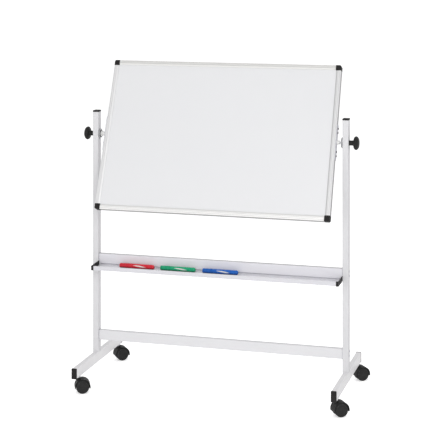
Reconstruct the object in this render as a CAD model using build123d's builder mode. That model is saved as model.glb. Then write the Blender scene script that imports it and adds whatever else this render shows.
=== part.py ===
from build123d import *
import math
import os

# Revolving whiteboard on a four-caster H stand, with a pen tray and three markers.
# Frame: millimetres, +Z up, +X to the user's right, +Y away from the user.
# Origin: on the floor, under the middle of the whole stand.
# In functions for both sides of the stand, sign is -1 for the left and +1 for the right.

os.makedirs("parts", exist_ok=True)

# ---- fits, added to a radius ----
RUN_FIT = 0.06           # bore that a pin turns in
LOOSE_FIT = 0.2          # clearance hole on the pivot bolt

# ---- stand tubes ----
TUBE_WALL = 1.5
UPRIGHT_X = 649.0        # centre of each upright from the middle
UPRIGHT_W = 30.0         # across, along X
UPRIGHT_D = 40.0         # front to back
UPRIGHT_TOP = 1366.0
UPRIGHT_SPOTS = [(-UPRIGHT_X, 0), (UPRIGHT_X, 0)]
FOOT_W = 25.0
FOOT_H = 50.0
FOOT_BOTTOM = 85.0
FOOT_TOP = FOOT_BOTTOM + FOOT_H
FOOT_MID_Z = FOOT_BOTTOM + FOOT_H / 2
FOOT_FRONT = -313.0
FOOT_BACK = 342.0

# ---- push-in tube caps ----
UPRIGHT_CAP_T = 7.5
UPRIGHT_CAP_OVER = 1.6   # cap size over the tube's
FOOT_CAP_T = 4.0
FOOT_CAP_OVER = 2.6
CAP_CORNER_R = 3.2
PLUG_DEPTH = 18.0

# ---- crossbars ----
BAR_D = 25.0
BAR_H = 50.0
LOWER_BAR_TOP = 248.5
UPPER_BAR_TOP = 640.5
UPPER_BAR_BOTTOM = UPPER_BAR_TOP - BAR_H
BAR_END = UPRIGHT_X - UPRIGHT_W / 2      # inner face of an upright
PLATE_T = 3.0            # threaded plate welded in each crossbar end
PLATE_OVER = 1.0         # plate size over the bar's

# ---- crossbar bolts ----
LOWER_BOLT_Z = 225.0
UPPER_BOLT_Z = 615.5
BOLT_SPREAD = 11.0       # half the spacing of the two bolts of a joint
BOLT_SPOTS = [(0, z + s * BOLT_SPREAD) for z in (LOWER_BOLT_Z, UPPER_BOLT_Z) for s in (-1, 1)]
BOLT_R = 3.0
BOLT_THREAD_R = 3.05     # hole in an end plate
BOLT_HOLE_R = 3.2        # hole in an upright
BOLT_HEAD_R = 5.5
BOLT_HEAD_H = 3.4
BOLT_OVERRUN = 5.0       # length past the end plate
HEX_R = 2.3              # hex socket, corner radius
HEX_FLOOR = 1.2          # height of the socket's floor above the upright

# ---- pen tray ----
TRAY_FRONT = -122.0
TRAY_FLOOR = 579.4       # underside of the floor
TRAY_T = 1.6
TRAY_GAP = 3.0           # step from the flange down to the joggled shelf
TRAY_LIP_TOP = 599.5
TRAY_LIP_D = 5.0
TRAY_END = 631.0
FLANGE_BACK = 9.0
JOGGLE_Y = -4.0
TRAY_BACK = -12.5
TRAY_SCREW_SPOTS = [(x, 2.5) for x in (-540.0, -180.0, 180.0, 540.0)]
TRAY_SCREW_R = 2.0
TRAY_SCREW_L = 12.0
TRAY_HEAD_R = 4.0
TRAY_HEAD_H = 2.6
TRAY_CAP_SKIN = 1.6      # cap overhang past the lip, front and top
TRAY_CAP_GAP = 0.1       # rim to channel
TRAY_RIM_L = 9.0

# ---- board ----
PIVOT_Z = 1254.0
TILT = 23.0              # rest tilt: top edge leans back
BOARD_W = 1200.0
BOARD_H = 784.0
BOARD_T = 34.0
RAIL_W = 25.0            # visible width of the aluminium frame
RAIL_WALL = 1.6
CHAMBER_END = 13.4       # inner side of a rail's chamber, from the frame's outside
LIP_SLOPE = 7.0          # width of the sloped inner border of a rail
LIP_FALL = 3.2           # how far that border drops towards the sheet
LIP_FLAT = 0.4           # flat behind each lip, beside the slope
GROOVE_IN = (6.5, 14.3)  # fine face grooves, from the frame's outside
PANEL_IN = 15.0          # panel edge, measured in from the frame's outside
PANEL_T = 24.0
PANEL_W = BOARD_W - 2 * PANEL_IN
PANEL_H = BOARD_H - 2 * PANEL_IN
SHEET_T = 0.8
SHEET_DROP = 0.1         # sheet margin under the frame lips lies this much lower
FACE_W = BOARD_W - 2 * RAIL_W - 0.2
FACE_H = BOARD_H - 2 * RAIL_W - 0.2
CORNER = 28.0            # side of a plastic corner cap
CORNER_PROUD = 0.7       # cap over the rails' faces
PLUG_FIT = 0.2           # plug to chamber wall

# ---- pivots ----
PIVOT_R = 5.0
PIVOT_END = 702.0
PIVOT_HEAD_R = 9.8       # hex head, corner radius
PIVOT_HEAD_H = 6.4
BUSH_R = 7.0
BUSH_FLANGE_R = 12.0
BUSH_FLANGE_T = 1.5
WASHER_T = 7.0
WASHER_R = 26.0
BRACKET_T = 3.0
BRACKET_L = 180.0
BRACKET_W = 27.0
BRACKET_FACE = BOARD_W / 2 + BRACKET_T   # outer face of a bracket, from the middle
BRACKET_SPOTS = [(s * v, 0) for v in (48.0, 69.0) for s in (-1, 1)]
BRACKET_HEAD_R = 5.0
BRACKET_HEAD_H = 4.0
SPACER_R = 10.2
SPACER_FLANGE_R = 14.5
SPACER_END = 617.5
COLLAR_START = 624.0
COLLAR_R = 18.5
COLLAR_GAP = 0.15        # collar to friction washer
KNOB_START = 665.8
KNOB_HUB_R = 12.5
KNOB_HEAD_R = 33.5

# ---- casters ----
FRONT_STEM_Y = -258.0
REAR_STEM_Y = 314.0
CASTERS = {              # stem x, stem y, rest swivel in degrees
    "fl": (-UPRIGHT_X, FRONT_STEM_Y, 25.0),
    "fr": (UPRIGHT_X, FRONT_STEM_Y, 34.0),
    "rl": (-UPRIGHT_X, REAR_STEM_Y, 38.0),
    "rr": (UPRIGHT_X, REAR_STEM_Y, 36.0),
}
TRAIL = 20.0             # axle behind the stem
AXLE_R = 4.0
AXLE_L = 40.0
WHEEL_R = 33.0
WHEEL_IN = 7.0           # inner and outer faces of a wheel, from the middle
WHEEL_OUT = 25.5
HOOD_R = 39.0
HOOD_HALF = 26.0         # half the hood's width
HOOD_DROP = 7.0          # skirts end this far below the axle
HOOD_CLEAR = 34.8
WEB_R = 15.0
WEB_HALF = 6.0
BOSS_R = 11.0
BOSS_BOTTOM = 45.0
BOSS_TOP = 77.0
BORE_DEPTH = 22.0        # stem bore, down from the boss top
STEM_R = 4.0             # stem inside the boss
STEM_BOTTOM = 55.2
STEM_COLLAR_R = 9.0
STEM_COLLAR_T = 5.6
STEM_PIN_R = 5.5         # stem above the collar
STEM_PIN_L = 37.0
SOCKET_R = 8.0
SOCKET_L = 38.0
SOCKET_FLANGE_R = 11.5
SOCKET_FLANGE_T = 2.0

# ---- markers ----
MARKER_L = 184.0
MARKER_Y = -38.0
MARKER_Z = 593.2
MARKER_R = 11.2
MARKER_CAP_L = 50.0
MARKER_CAP_R = 12.0
MARKER_START = {"red": -509.6, "green": -292.3, "blue": -71.2}   # x of the cap end

# Profiles are drawn from the uprights' centre plane. The footprint runs from the
# front foot caps to the rearmost hood; its middle becomes Y = 0 when a part is saved.
rear_swivel = math.radians(CASTERS["rl"][2])
FOOTPRINT_FRONT = FOOT_FRONT - FOOT_CAP_T
FOOTPRINT_BACK = (
    REAR_STEM_Y + (TRAIL + HOOD_R) * math.sin(rear_swivel) + HOOD_HALF * math.cos(rear_swivel)
)
FRAME_Y = -(FOOTPRINT_FRONT + FOOTPRINT_BACK) / 2

# Board frame, at rest tilt
tilt = math.radians(TILT)
ALONG = Vector(1, 0, 0)                             # along the board
UP = Vector(0, math.sin(tilt), math.cos(tilt))      # up the board
OUT = Vector(0, -math.cos(tilt), math.sin(tilt))    # out of the front surface
PIVOT = Vector(0, 0, PIVOT_Z)
BOARD_PLANE = Plane(origin=PIVOT, x_dir=ALONG, z_dir=OUT)   # middle of the thickness


# =====================================================================
# Helpers. The section helpers draw into the sketch that calls them.
# =====================================================================
def save(builder, label):
    placed = builder.part.moved(Location((0, FRAME_Y, 0)))
    placed.label = label
    export_step(placed, "parts/" + label + ".step")


def side_of(sign):
    return "right" if sign > 0 else "left"


def cross_plane(x, z=0):
    """Plane across X: local x to the back, local y up, normal to the right."""
    return Plane(origin=(x, 0, z), x_dir=(0, 1, 0), z_dir=(1, 0, 0))


def outward_plane(sign, distance, z=0):
    """Upright plane facing out to one side, this far from the middle."""
    return Plane(origin=(sign * distance, 0, z), x_dir=(0, sign, 0), z_dir=(sign, 0, 0))


def board_point(along, up):
    return PIVOT + ALONG * along + UP * up


def board_side_plane(sign, distance):
    """Plane on the pivot axis facing out to one side, turned with the board."""
    return Plane(origin=board_point(sign * distance, 0), x_dir=UP, z_dir=ALONG * sign)


def tube_section(width, height):
    RectangleRounded(width, height, 2.5)
    RectangleRounded(
        width - 2 * TUBE_WALL, height - 2 * TUBE_WALL, 1.2, mode=Mode.SUBTRACT
    )


def plug_section(width, height):
    """Hollow plug that fits inside a tube of this outer size."""
    inner_w = width - 2 * TUBE_WALL
    inner_h = height - 2 * TUBE_WALL
    RectangleRounded(inner_w - 0.4, inner_h - 0.4, 1.0)
    RectangleRounded(inner_w - 5, inner_h - 5, 0.8, mode=Mode.SUBTRACT)


def ring(outer_r, inner_r):
    Circle(outer_r)
    Circle(inner_r, mode=Mode.SUBTRACT)


def cross_recess():
    Rectangle(5.0, 0.9)
    Rectangle(0.9, 5.0)


def strip(start, end, height):
    """Rectangle from start to end along local x, centred on local y."""
    with Locations(((start + end) / 2, 0)):
        Rectangle(end - start, height)


def circle_edges(builder, radius):
    circles = builder.edges().filter_by(GeomType.CIRCLE)
    return circles.filter_by(lambda e: abs(e.radius - radius) < 0.01)


# =====================================================================
# Stand
# =====================================================================
def upright(sign):
    """Rectangular tube, closed below by the foot it is welded to."""
    centre_x = sign * UPRIGHT_X
    with BuildPart() as tube:
        with BuildSketch(Plane.XY.offset(FOOT_TOP)):
            with Locations((centre_x, 0)):
                tube_section(UPRIGHT_W, UPRIGHT_D)
        extrude(amount=UPRIGHT_TOP - FOOT_TOP)
        # cross holes: four crossbar bolts and the pivot bush
        with BuildSketch(cross_plane(centre_x - UPRIGHT_W)):
            with Locations(*BOLT_SPOTS):
                Circle(BOLT_HOLE_R)
            with Locations((0, PIVOT_Z)):
                Circle(BUSH_R)
        extrude(amount=2 * UPRIGHT_W, mode=Mode.SUBTRACT)
    save(tube, side_of(sign) + "_upright")


def foot(sign):
    """Rectangular tube lying front to back, with a hole for each caster socket."""
    centre_x = sign * UPRIGHT_X
    front_plane = Plane(
        origin=(centre_x, FOOT_FRONT, FOOT_MID_Z), x_dir=(1, 0, 0), z_dir=(0, 1, 0)
    )
    with BuildPart() as tube:
        with BuildSketch(front_plane):
            tube_section(FOOT_W, FOOT_H)
        extrude(amount=FOOT_BACK - FOOT_FRONT)
        with BuildSketch(Plane.XY.offset(FOOT_BOTTOM - 2)):
            with Locations((centre_x, FRONT_STEM_Y), (centre_x, REAR_STEM_Y)):
                Circle(SOCKET_R)
        extrude(amount=10, mode=Mode.SUBTRACT)
    save(tube, side_of(sign) + "_foot")


def upright_caps():
    """Push-in caps with rounded top edges, one on each upright."""
    with BuildPart() as caps:
        with BuildSketch(Plane.XY.offset(UPRIGHT_TOP)):
            with Locations(*UPRIGHT_SPOTS):
                RectangleRounded(
                    UPRIGHT_W + UPRIGHT_CAP_OVER, UPRIGHT_D + UPRIGHT_CAP_OVER, CAP_CORNER_R
                )
        extrude(amount=UPRIGHT_CAP_T)
        fillet(caps.edges().group_by(Axis.Z)[-1], radius=1.8)
        with BuildSketch(Plane.XY.offset(UPRIGHT_TOP)):
            with Locations(*UPRIGHT_SPOTS):
                plug_section(UPRIGHT_W, UPRIGHT_D)
        extrude(amount=-PLUG_DEPTH)
    save(caps, "upright_caps")


def foot_end_caps():
    """Push-in caps in the four foot ends, one flange of each proud of the tube."""
    with BuildPart() as caps:
        for end_y, facing in ((FOOT_FRONT, -1), (FOOT_BACK, 1)):
            end_plane = Plane(
                origin=(0, end_y, FOOT_MID_Z), x_dir=(1, 0, 0), z_dir=(0, facing, 0)
            )
            with BuildSketch(end_plane):
                with Locations(*UPRIGHT_SPOTS):
                    RectangleRounded(
                        FOOT_W + FOOT_CAP_OVER, FOOT_H + FOOT_CAP_OVER, CAP_CORNER_R
                    )
            extrude(amount=FOOT_CAP_T)
            with BuildSketch(end_plane):
                with Locations(*UPRIGHT_SPOTS):
                    plug_section(FOOT_W, FOOT_H)
            extrude(amount=-PLUG_DEPTH)
        fillet(caps.edges().group_by(Axis.Y)[0], radius=1.6)
        fillet(caps.edges().group_by(Axis.Y)[-1], radius=1.6)
    save(caps, "foot_end_caps")


def crossbar(label, top, screw_spots=()):
    """Rectangular tube between the uprights, with screw holes in its underside."""
    tube_end = BAR_END - PLATE_T
    with BuildPart() as bar:
        with BuildSketch(cross_plane(-tube_end, top - BAR_H / 2)):
            tube_section(BAR_D, BAR_H)
        extrude(amount=2 * tube_end)
        if screw_spots:
            with BuildSketch(Plane.XY.offset(top - BAR_H - 1)):
                with Locations(*screw_spots):
                    Circle(2.15)
            extrude(amount=6, mode=Mode.SUBTRACT)
    save(bar, label)


def crossbar_end_plates():
    """Threaded plates closing the four crossbar ends; the bolts screw into them."""
    joints = ((LOWER_BAR_TOP, LOWER_BOLT_Z), (UPPER_BAR_TOP, UPPER_BOLT_Z))
    with BuildPart() as plates:
        for bar_top, bolt_z in joints:
            for plate_x in (-BAR_END, BAR_END - PLATE_T):
                with BuildSketch(cross_plane(plate_x)):
                    with Locations((0, bar_top - BAR_H / 2)):
                        RectangleRounded(BAR_D + PLATE_OVER, BAR_H + PLATE_OVER, 2.5)
                    with Locations((0, bolt_z - BOLT_SPREAD), (0, bolt_z + BOLT_SPREAD)):
                        Circle(BOLT_THREAD_R, mode=Mode.SUBTRACT)
                extrude(amount=PLATE_T)
    save(plates, "crossbar_end_plates")


def crossbar_bolts():
    """Eight socket-head bolts through the uprights into the end plates."""
    seat_x = UPRIGHT_X + UPRIGHT_W / 2
    with BuildPart() as bolts:
        for sign in (-1, 1):
            seat = outward_plane(sign, seat_x)
            with BuildSketch(seat):
                with Locations(*BOLT_SPOTS):
                    Circle(BOLT_HEAD_R)
            extrude(amount=BOLT_HEAD_H)
            with BuildSketch(seat):
                with Locations(*BOLT_SPOTS):
                    Circle(BOLT_R)
            extrude(amount=-(UPRIGHT_W + PLATE_T + BOLT_OVERRUN))
            with BuildSketch(seat.offset(HEX_FLOOR)):
                with Locations(*BOLT_SPOTS):
                    RegularPolygon(HEX_R, 6)
            extrude(amount=4, mode=Mode.SUBTRACT)
        head_x = seat_x + BOLT_HEAD_H
        fillet(
            circle_edges(bolts, BOLT_HEAD_R).filter_by(
                lambda e: abs(abs(e.center().X) - head_x) < 0.05
            ),
            radius=1.6,
        )
    save(bolts, "crossbar_bolts")


def pen_tray():
    """One folded channel. Its joggled rear flange is screwed under the crossbar."""
    flange_top = UPPER_BAR_BOTTOM
    shelf_top = flange_top - TRAY_GAP
    # y, z round the folded section
    section = [
        (FLANGE_BACK, flange_top),
        (FLANGE_BACK, flange_top - TRAY_T),
        (JOGGLE_Y, flange_top - TRAY_T),
        (JOGGLE_Y, shelf_top - TRAY_T),
        (TRAY_BACK, shelf_top - TRAY_T),
        (TRAY_BACK, TRAY_FLOOR),
        (TRAY_FRONT, TRAY_FLOOR),
        (TRAY_FRONT, TRAY_LIP_TOP),
        (TRAY_FRONT + TRAY_LIP_D, TRAY_LIP_TOP),
        (TRAY_FRONT + TRAY_LIP_D, TRAY_LIP_TOP - TRAY_T),
        (TRAY_FRONT + TRAY_T, TRAY_LIP_TOP - TRAY_T),
        (TRAY_FRONT + TRAY_T, TRAY_FLOOR + TRAY_T),
        (TRAY_BACK - TRAY_T, TRAY_FLOOR + TRAY_T),
        (TRAY_BACK - TRAY_T, shelf_top),
        (JOGGLE_Y - TRAY_T, shelf_top),
        (JOGGLE_Y - TRAY_T, flange_top),
    ]
    with BuildPart() as tray:
        with BuildSketch(cross_plane(-TRAY_END)):
            with BuildLine():
                Polyline(*section, close=True)
            make_face()
        extrude(amount=2 * TRAY_END)
        front_edges = (
            tray.edges().filter_by(Axis.X).filter_by(lambda e: e.center().Y < TRAY_FRONT + 0.1)
        )
        fillet(front_edges, radius=1.5)
        with BuildSketch(Plane.XY.offset(flange_top - 5)):
            with Locations(*TRAY_SCREW_SPOTS):
                Circle(2.3)
        extrude(amount=6, mode=Mode.SUBTRACT)
    save(tray, "pen_tray")


def tray_cap(sign):
    """Moulded end cap of the tray: a plate with a rim round the channel's outside."""
    plane = cross_plane(sign * TRAY_END)
    front = TRAY_FRONT - TRAY_CAP_SKIN
    top = TRAY_LIP_TOP + TRAY_CAP_SKIN
    bottom = TRAY_FLOOR - 1.5
    hook_y = TRAY_FRONT + 6.5
    rim_back = -40.0
    # y, z
    plate_outline = [
        (-14.3, UPPER_BAR_BOTTOM + 14.0),
        (-14.3, TRAY_FLOOR + 4.0),
        (rim_back, bottom),
        (front, bottom),
        (front, top),
        (hook_y, top),
    ]
    rim_outline = [
        (front, top),
        (front, bottom),
        (rim_back, bottom),
        (rim_back, TRAY_FLOOR - TRAY_CAP_GAP),
        (TRAY_FRONT - TRAY_CAP_GAP, TRAY_FLOOR - TRAY_CAP_GAP),
        (TRAY_FRONT - TRAY_CAP_GAP, TRAY_LIP_TOP + TRAY_CAP_GAP),
        (hook_y, TRAY_LIP_TOP + TRAY_CAP_GAP),
        (hook_y, top),
    ]
    with BuildPart() as cap:
        with BuildSketch(plane):
            with BuildLine():
                Polyline(*plate_outline, close=True)
            make_face()
        extrude(amount=sign * (BAR_END - TRAY_END - 0.2))
        # rim outside the lip and under the floor, open towards the tray
        with BuildSketch(plane):
            with BuildLine():
                Polyline(*rim_outline, close=True)
            make_face()
        extrude(amount=-sign * TRAY_RIM_L)
        fillet(
            cap.edges().filter_by(Axis.X).filter_by(lambda e: e.center().Y < TRAY_FRONT - 1.5),
            radius=1.2,
        )
    save(cap, "tray_" + side_of(sign) + "_cap")


def tray_screws():
    """Screws holding the tray flange up against the crossbar."""
    seat = Plane.XY.offset(UPPER_BAR_BOTTOM - TRAY_T)
    with BuildPart() as screws:
        with BuildSketch(seat):
            with Locations(*TRAY_SCREW_SPOTS):
                Circle(TRAY_SCREW_R)
        extrude(amount=TRAY_SCREW_L)
        with BuildSketch(seat):
            with Locations(*TRAY_SCREW_SPOTS):
                Circle(TRAY_HEAD_R)
        extrude(amount=-TRAY_HEAD_H)
        with BuildSketch(seat.offset(-TRAY_HEAD_H)):
            with Locations(*TRAY_SCREW_SPOTS):
                cross_recess()
        extrude(amount=1.4, mode=Mode.SUBTRACT)
    save(screws, "tray_screws")


def pivot_bushes():
    """Flanged plastic bushes lining the pivot holes of the uprights."""
    with BuildPart() as bushes:
        for sign in (-1, 1):
            inner_face = outward_plane(sign, BAR_END, PIVOT_Z)
            with BuildSketch(inner_face):
                ring(BUSH_R, PIVOT_R + RUN_FIT)
            extrude(amount=UPRIGHT_W)
            with BuildSketch(inner_face.offset(UPRIGHT_W)):
                ring(BUSH_FLANGE_R, PIVOT_R + RUN_FIT)
            extrude(amount=BUSH_FLANGE_T)
    save(bushes, "pivot_bushes")


def friction_washers():
    """Dished friction washers between each upright and the board."""
    # distance in from the upright, radius
    profile = [
        (0.0, PIVOT_R + RUN_FIT),
        (0.0, WASHER_R - 1.2),
        (1.2, WASHER_R),
        (WASHER_T - 2.0, WASHER_R),
        (WASHER_T - 0.8, WASHER_R - 0.6),
        (WASHER_T, WASHER_R - 2.2),
        (WASHER_T, WASHER_R - 5.0),
        (WASHER_T - 1.4, WASHER_R - 6.4),
        (WASHER_T - 1.4, 17.4),
        (WASHER_T, 16.0),
        (WASHER_T, PIVOT_R + RUN_FIT),
    ]
    with BuildPart() as washers:
        for sign in (-1, 1):
            centre = (sign * BAR_END, 0, PIVOT_Z)
            with BuildSketch(Plane(origin=centre, x_dir=(-sign, 0, 0), z_dir=(0, sign, 0))):
                with BuildLine():
                    Polyline(*profile, close=True)
                make_face()
            revolve(axis=Axis(origin=centre, direction=(sign, 0, 0)))
    save(washers, "friction_washers")


def caster_sockets():
    """Flanged sockets pressed up into the feet; the caster stems turn in them."""
    spots = [(x, y) for x, y, _ in CASTERS.values()]
    with BuildPart() as sockets:
        with BuildSketch(Plane.XY.offset(FOOT_BOTTOM)):
            with Locations(*spots):
                ring(SOCKET_R, STEM_PIN_R + RUN_FIT)
        extrude(amount=SOCKET_L)
        with BuildSketch(Plane.XY.offset(FOOT_BOTTOM)):
            with Locations(*spots):
                ring(SOCKET_FLANGE_R, STEM_PIN_R + RUN_FIT)
        extrude(amount=-SOCKET_FLANGE_T)
    save(sockets, "caster_sockets")


# =====================================================================
# Board
# =====================================================================
def sheet(label, margin_level, face_level):
    """A margin that tucks under the frame lips and a writing face inside them.

    Each level is the rear side of that layer, from the middle of the board.
    """
    with BuildPart() as skin:
        with BuildSketch(BOARD_PLANE.offset(margin_level)):
            Rectangle(PANEL_W, PANEL_H)
        extrude(amount=SHEET_T - SHEET_DROP)
        with BuildSketch(BOARD_PLANE.offset(face_level)) as face_outline:
            Rectangle(FACE_W, FACE_H)
            chamfer(face_outline.vertices(), length=8.0)
        extrude(amount=SHEET_T)
    save(skin, label)


def board_core():
    with BuildPart() as core:
        with BuildSketch(BOARD_PLANE.offset(-PANEL_T / 2 + SHEET_T)):
            Rectangle(PANEL_W, PANEL_H)
        extrude(amount=PANEL_T - 2 * SHEET_T)
    save(core, "board_core")


def frame_rail(label, plane, length, sign=0):
    """Extruded rail; local x runs in from the outer edge, local y through the board.

    A sign of -1 or +1 marks a side rail, which is drilled for the pivot hardware.
    """
    half_t = BOARD_T / 2
    with BuildPart() as rail:
        with BuildSketch(plane):
            strip(0, RAIL_W, BOARD_T)
        extrude(amount=length)
        long_edges = rail.edges().filter_by(Axis(origin=(0, 0, 0), direction=plane.z_dir))
        outer = [e for e in long_edges if abs(plane.to_local_coords(e.center()).X) < 0.01]
        inner = [
            e for e in long_edges if abs(plane.to_local_coords(e.center()).X - RAIL_W) < 0.01
        ]
        fillet(outer, radius=3.0)
        for edge in inner:
            edge_y = plane.to_local_coords(edge.center()).Y
            board_face = rail.faces().filter_by(
                lambda f: abs(abs(plane.to_local_coords(f.center()).Y) - half_t) < 0.01
                and plane.to_local_coords(f.center()).Y * edge_y > 0
            )
            chamfer(edge, length=LIP_SLOPE, length2=LIP_FALL, reference=board_face[0])
        with BuildSketch(plane):
            # closed chamber along the outside
            strip(RAIL_WALL, CHAMBER_END, BOARD_T - 2 * RAIL_WALL)
            # groove that takes the panel edge, with a hollow behind each lip
            strip(PANEL_IN, RAIL_W + 2, PANEL_T)
            strip(PANEL_IN, RAIL_W - LIP_SLOPE - LIP_FLAT, BOARD_T - 2 * RAIL_WALL)
            # two fine grooves down each face
            with Locations(*[(x, s * half_t) for x in GROOVE_IN for s in (1, -1)]):
                Rectangle(1.3, 1.6)
        extrude(amount=length, mode=Mode.SUBTRACT)
        if sign:
            drill_start = board_point(sign * (BOARD_W / 2 + 1), 0)
            with BuildSketch(Plane(origin=drill_start, x_dir=UP, z_dir=ALONG * -sign)):
                Circle(PIVOT_R + LOOSE_FIT)
                with Locations(*BRACKET_SPOTS):
                    Circle(2.1)
            extrude(amount=4, mode=Mode.SUBTRACT)
    save(rail, label)


def frame_rails():
    half_w = BOARD_W / 2
    half_h = BOARD_H / 2
    start_x = -half_w + CORNER
    start_up = -half_h + CORNER
    across = BOARD_W - 2 * CORNER
    upward = BOARD_H - 2 * CORNER
    top = Plane(origin=board_point(start_x, half_h), x_dir=UP * -1, z_dir=ALONG)
    bottom = Plane(origin=board_point(start_x, -half_h), x_dir=UP, z_dir=ALONG)
    left = Plane(origin=board_point(-half_w, start_up), x_dir=ALONG, z_dir=UP)
    right = Plane(origin=board_point(half_w, start_up), x_dir=ALONG * -1, z_dir=UP)
    frame_rail("frame_top_rail", top, across)
    frame_rail("frame_bottom_rail", bottom, across)
    frame_rail("frame_left_rail", left, upward, sign=-1)
    frame_rail("frame_right_rail", right, upward, sign=1)


def edges_inset(edges, inset):
    """Edges whose middle lies this far in from both outer sides of the board."""
    found = []
    for edge in edges:
        middle = edge.center() - PIVOT
        off_x = abs(middle.dot(ALONG)) - BOARD_W / 2 + inset
        off_up = abs(middle.dot(UP)) - BOARD_H / 2 + inset
        if abs(off_x) < 0.3 and abs(off_up) < 0.3:
            found.append(edge)
    return found


def board_corner_caps():
    """Moulded corner caps with plugs that push into the rail chambers."""
    half_t = BOARD_T / 2
    quadrants = [(sx, sy) for sx in (-1, 1) for sy in (-1, 1)]
    cap_x = BOARD_W / 2 - CORNER / 2
    cap_up = BOARD_H / 2 - CORNER / 2
    with BuildPart() as caps:
        for sx, sy in quadrants:
            with BuildSketch(BOARD_PLANE.offset(-half_t - CORNER_PROUD)):
                with Locations((sx * cap_x, sy * cap_up)):
                    Rectangle(CORNER - 0.2, CORNER - 0.2)
            extrude(amount=BOARD_T + 2 * CORNER_PROUD)
        through_edges = caps.edges().filter_by(Axis(origin=(0, 0, 0), direction=OUT))
        outer_corners = edges_inset(through_edges, 0)
        inner_corners = edges_inset(through_edges, CORNER)
        fillet(outer_corners, radius=9.0)
        fillet(inner_corners, radius=5.0)
        face_edges = [
            e
            for f in caps.faces()
            if abs(abs((f.center() - PIVOT).dot(OUT)) - half_t - CORNER_PROUD) < 0.01
            for e in f.edges()
        ]
        fillet(face_edges, radius=1.5)
        # room for the panel corner
        with BuildSketch(BOARD_PLANE.offset(-PANEL_T / 2)):
            Rectangle(PANEL_W, PANEL_H)
        extrude(amount=PANEL_T, mode=Mode.SUBTRACT)
        # plugs, two to a corner, each starting a little inside its cap
        plug_l = 24.0
        plug_w = CHAMBER_END - RAIL_WALL - 2 * PLUG_FIT
        plug_in = (RAIL_WALL + CHAMBER_END) / 2
        plug_along = CORNER + 11.0
        plug_half_t = half_t - RAIL_WALL - PLUG_FIT
        with BuildSketch(BOARD_PLANE.offset(-plug_half_t)):
            for sx, sy in quadrants:
                with Locations((sx * (BOARD_W / 2 - plug_along), sy * (BOARD_H / 2 - plug_in))):
                    Rectangle(plug_l, plug_w)
                with Locations((sx * (BOARD_W / 2 - plug_in), sy * (BOARD_H / 2 - plug_along))):
                    Rectangle(plug_w, plug_l)
        extrude(amount=2 * plug_half_t)
    save(caps, "board_corner_caps")


# =====================================================================
# Pivot hardware
# =====================================================================
def pivot_bracket(sign):
    """Plate on the side of the board, with its outer rim rounded."""
    with BuildPart() as bracket:
        with BuildSketch(board_side_plane(sign, BOARD_W / 2)):
            RectangleRounded(BRACKET_L, BRACKET_W, 6.0)
            Circle(PIVOT_R + LOOSE_FIT, mode=Mode.SUBTRACT)
            with Locations(*BRACKET_SPOTS):
                Circle(2.2, mode=Mode.SUBTRACT)
        extrude(amount=BRACKET_T)
        outer_face = bracket.faces().filter_by(
            lambda f: abs(f.center().X - sign * BRACKET_FACE) < 0.01
        )[0]
        fillet(outer_face.outer_wire().edges(), radius=0.8)
    save(bracket, side_of(sign) + "_pivot_bracket")


def pivot_bolt(sign):
    """Hex head inside the rail chamber, long plain shank to the knob."""
    head_x = BOARD_W / 2 - RAIL_WALL
    head_plane = board_side_plane(sign, head_x)
    with BuildPart() as bolt:
        with BuildSketch(head_plane):
            RegularPolygon(PIVOT_HEAD_R, 6)
        extrude(amount=-PIVOT_HEAD_H)
        with BuildSketch(head_plane):
            Circle(PIVOT_R)
        extrude(amount=PIVOT_END - head_x)
        tip = bolt.faces().filter_by(lambda f: abs(f.center().X - sign * PIVOT_END) < 0.01)
        chamfer(tip[0].edges(), length=1.0)
    save(bolt, side_of(sign) + "_pivot_bolt")


def pivot_spacers():
    with BuildPart() as spacers:
        for sign in (-1, 1):
            with BuildSketch(board_side_plane(sign, BRACKET_FACE)):
                ring(SPACER_R, PIVOT_R + LOOSE_FIT)
            extrude(amount=SPACER_END - BRACKET_FACE)
        # the left one has a wide end flange that bears on the collar
        with BuildSketch(board_side_plane(-1, SPACER_END)):
            ring(SPACER_FLANGE_R, PIVOT_R + LOOSE_FIT)
        extrude(amount=COLLAR_START - SPACER_END)
        # outer end of the right one
        fillet(
            circle_edges(spacers, SPACER_R).filter_by(
                lambda e: abs(e.center().X - SPACER_END) < 0.05
            ),
            radius=1.0,
        )
    save(spacers, "pivot_spacers")


def left_pivot_hub():
    """Thin collar on the left bolt, between the spacer's flange and the friction washer."""
    with BuildPart() as collar:
        with BuildSketch(board_side_plane(-1, COLLAR_START)):
            ring(COLLAR_R, PIVOT_R + LOOSE_FIT)
        extrude(amount=BAR_END - WASHER_T - COLLAR_GAP - COLLAR_START)
        chamfer(circle_edges(collar, COLLAR_R), length=0.6)
    save(collar, "left_pivot_hub")


def bracket_screws():
    with BuildPart() as screws:
        for sign in (-1, 1):
            seat = board_side_plane(sign, BRACKET_FACE)
            with BuildSketch(seat):
                with Locations(*BRACKET_SPOTS):
                    Circle(BRACKET_HEAD_R)
            extrude(amount=BRACKET_HEAD_H)
            with BuildSketch(seat):
                with Locations(*BRACKET_SPOTS):
                    Circle(2.0)
            extrude(amount=-11)
            with BuildSketch(seat.offset(BRACKET_HEAD_H)):
                with Locations(*BRACKET_SPOTS):
                    cross_recess()
            extrude(amount=-1.6, mode=Mode.SUBTRACT)
        head_x = BRACKET_FACE + BRACKET_HEAD_H
        fillet(
            circle_edges(screws, BRACKET_HEAD_R).filter_by(
                lambda e: abs(abs(e.center().X) - head_x) < 0.05
            ),
            radius=1.3,
        )
    save(screws, "bracket_screws")


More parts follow.
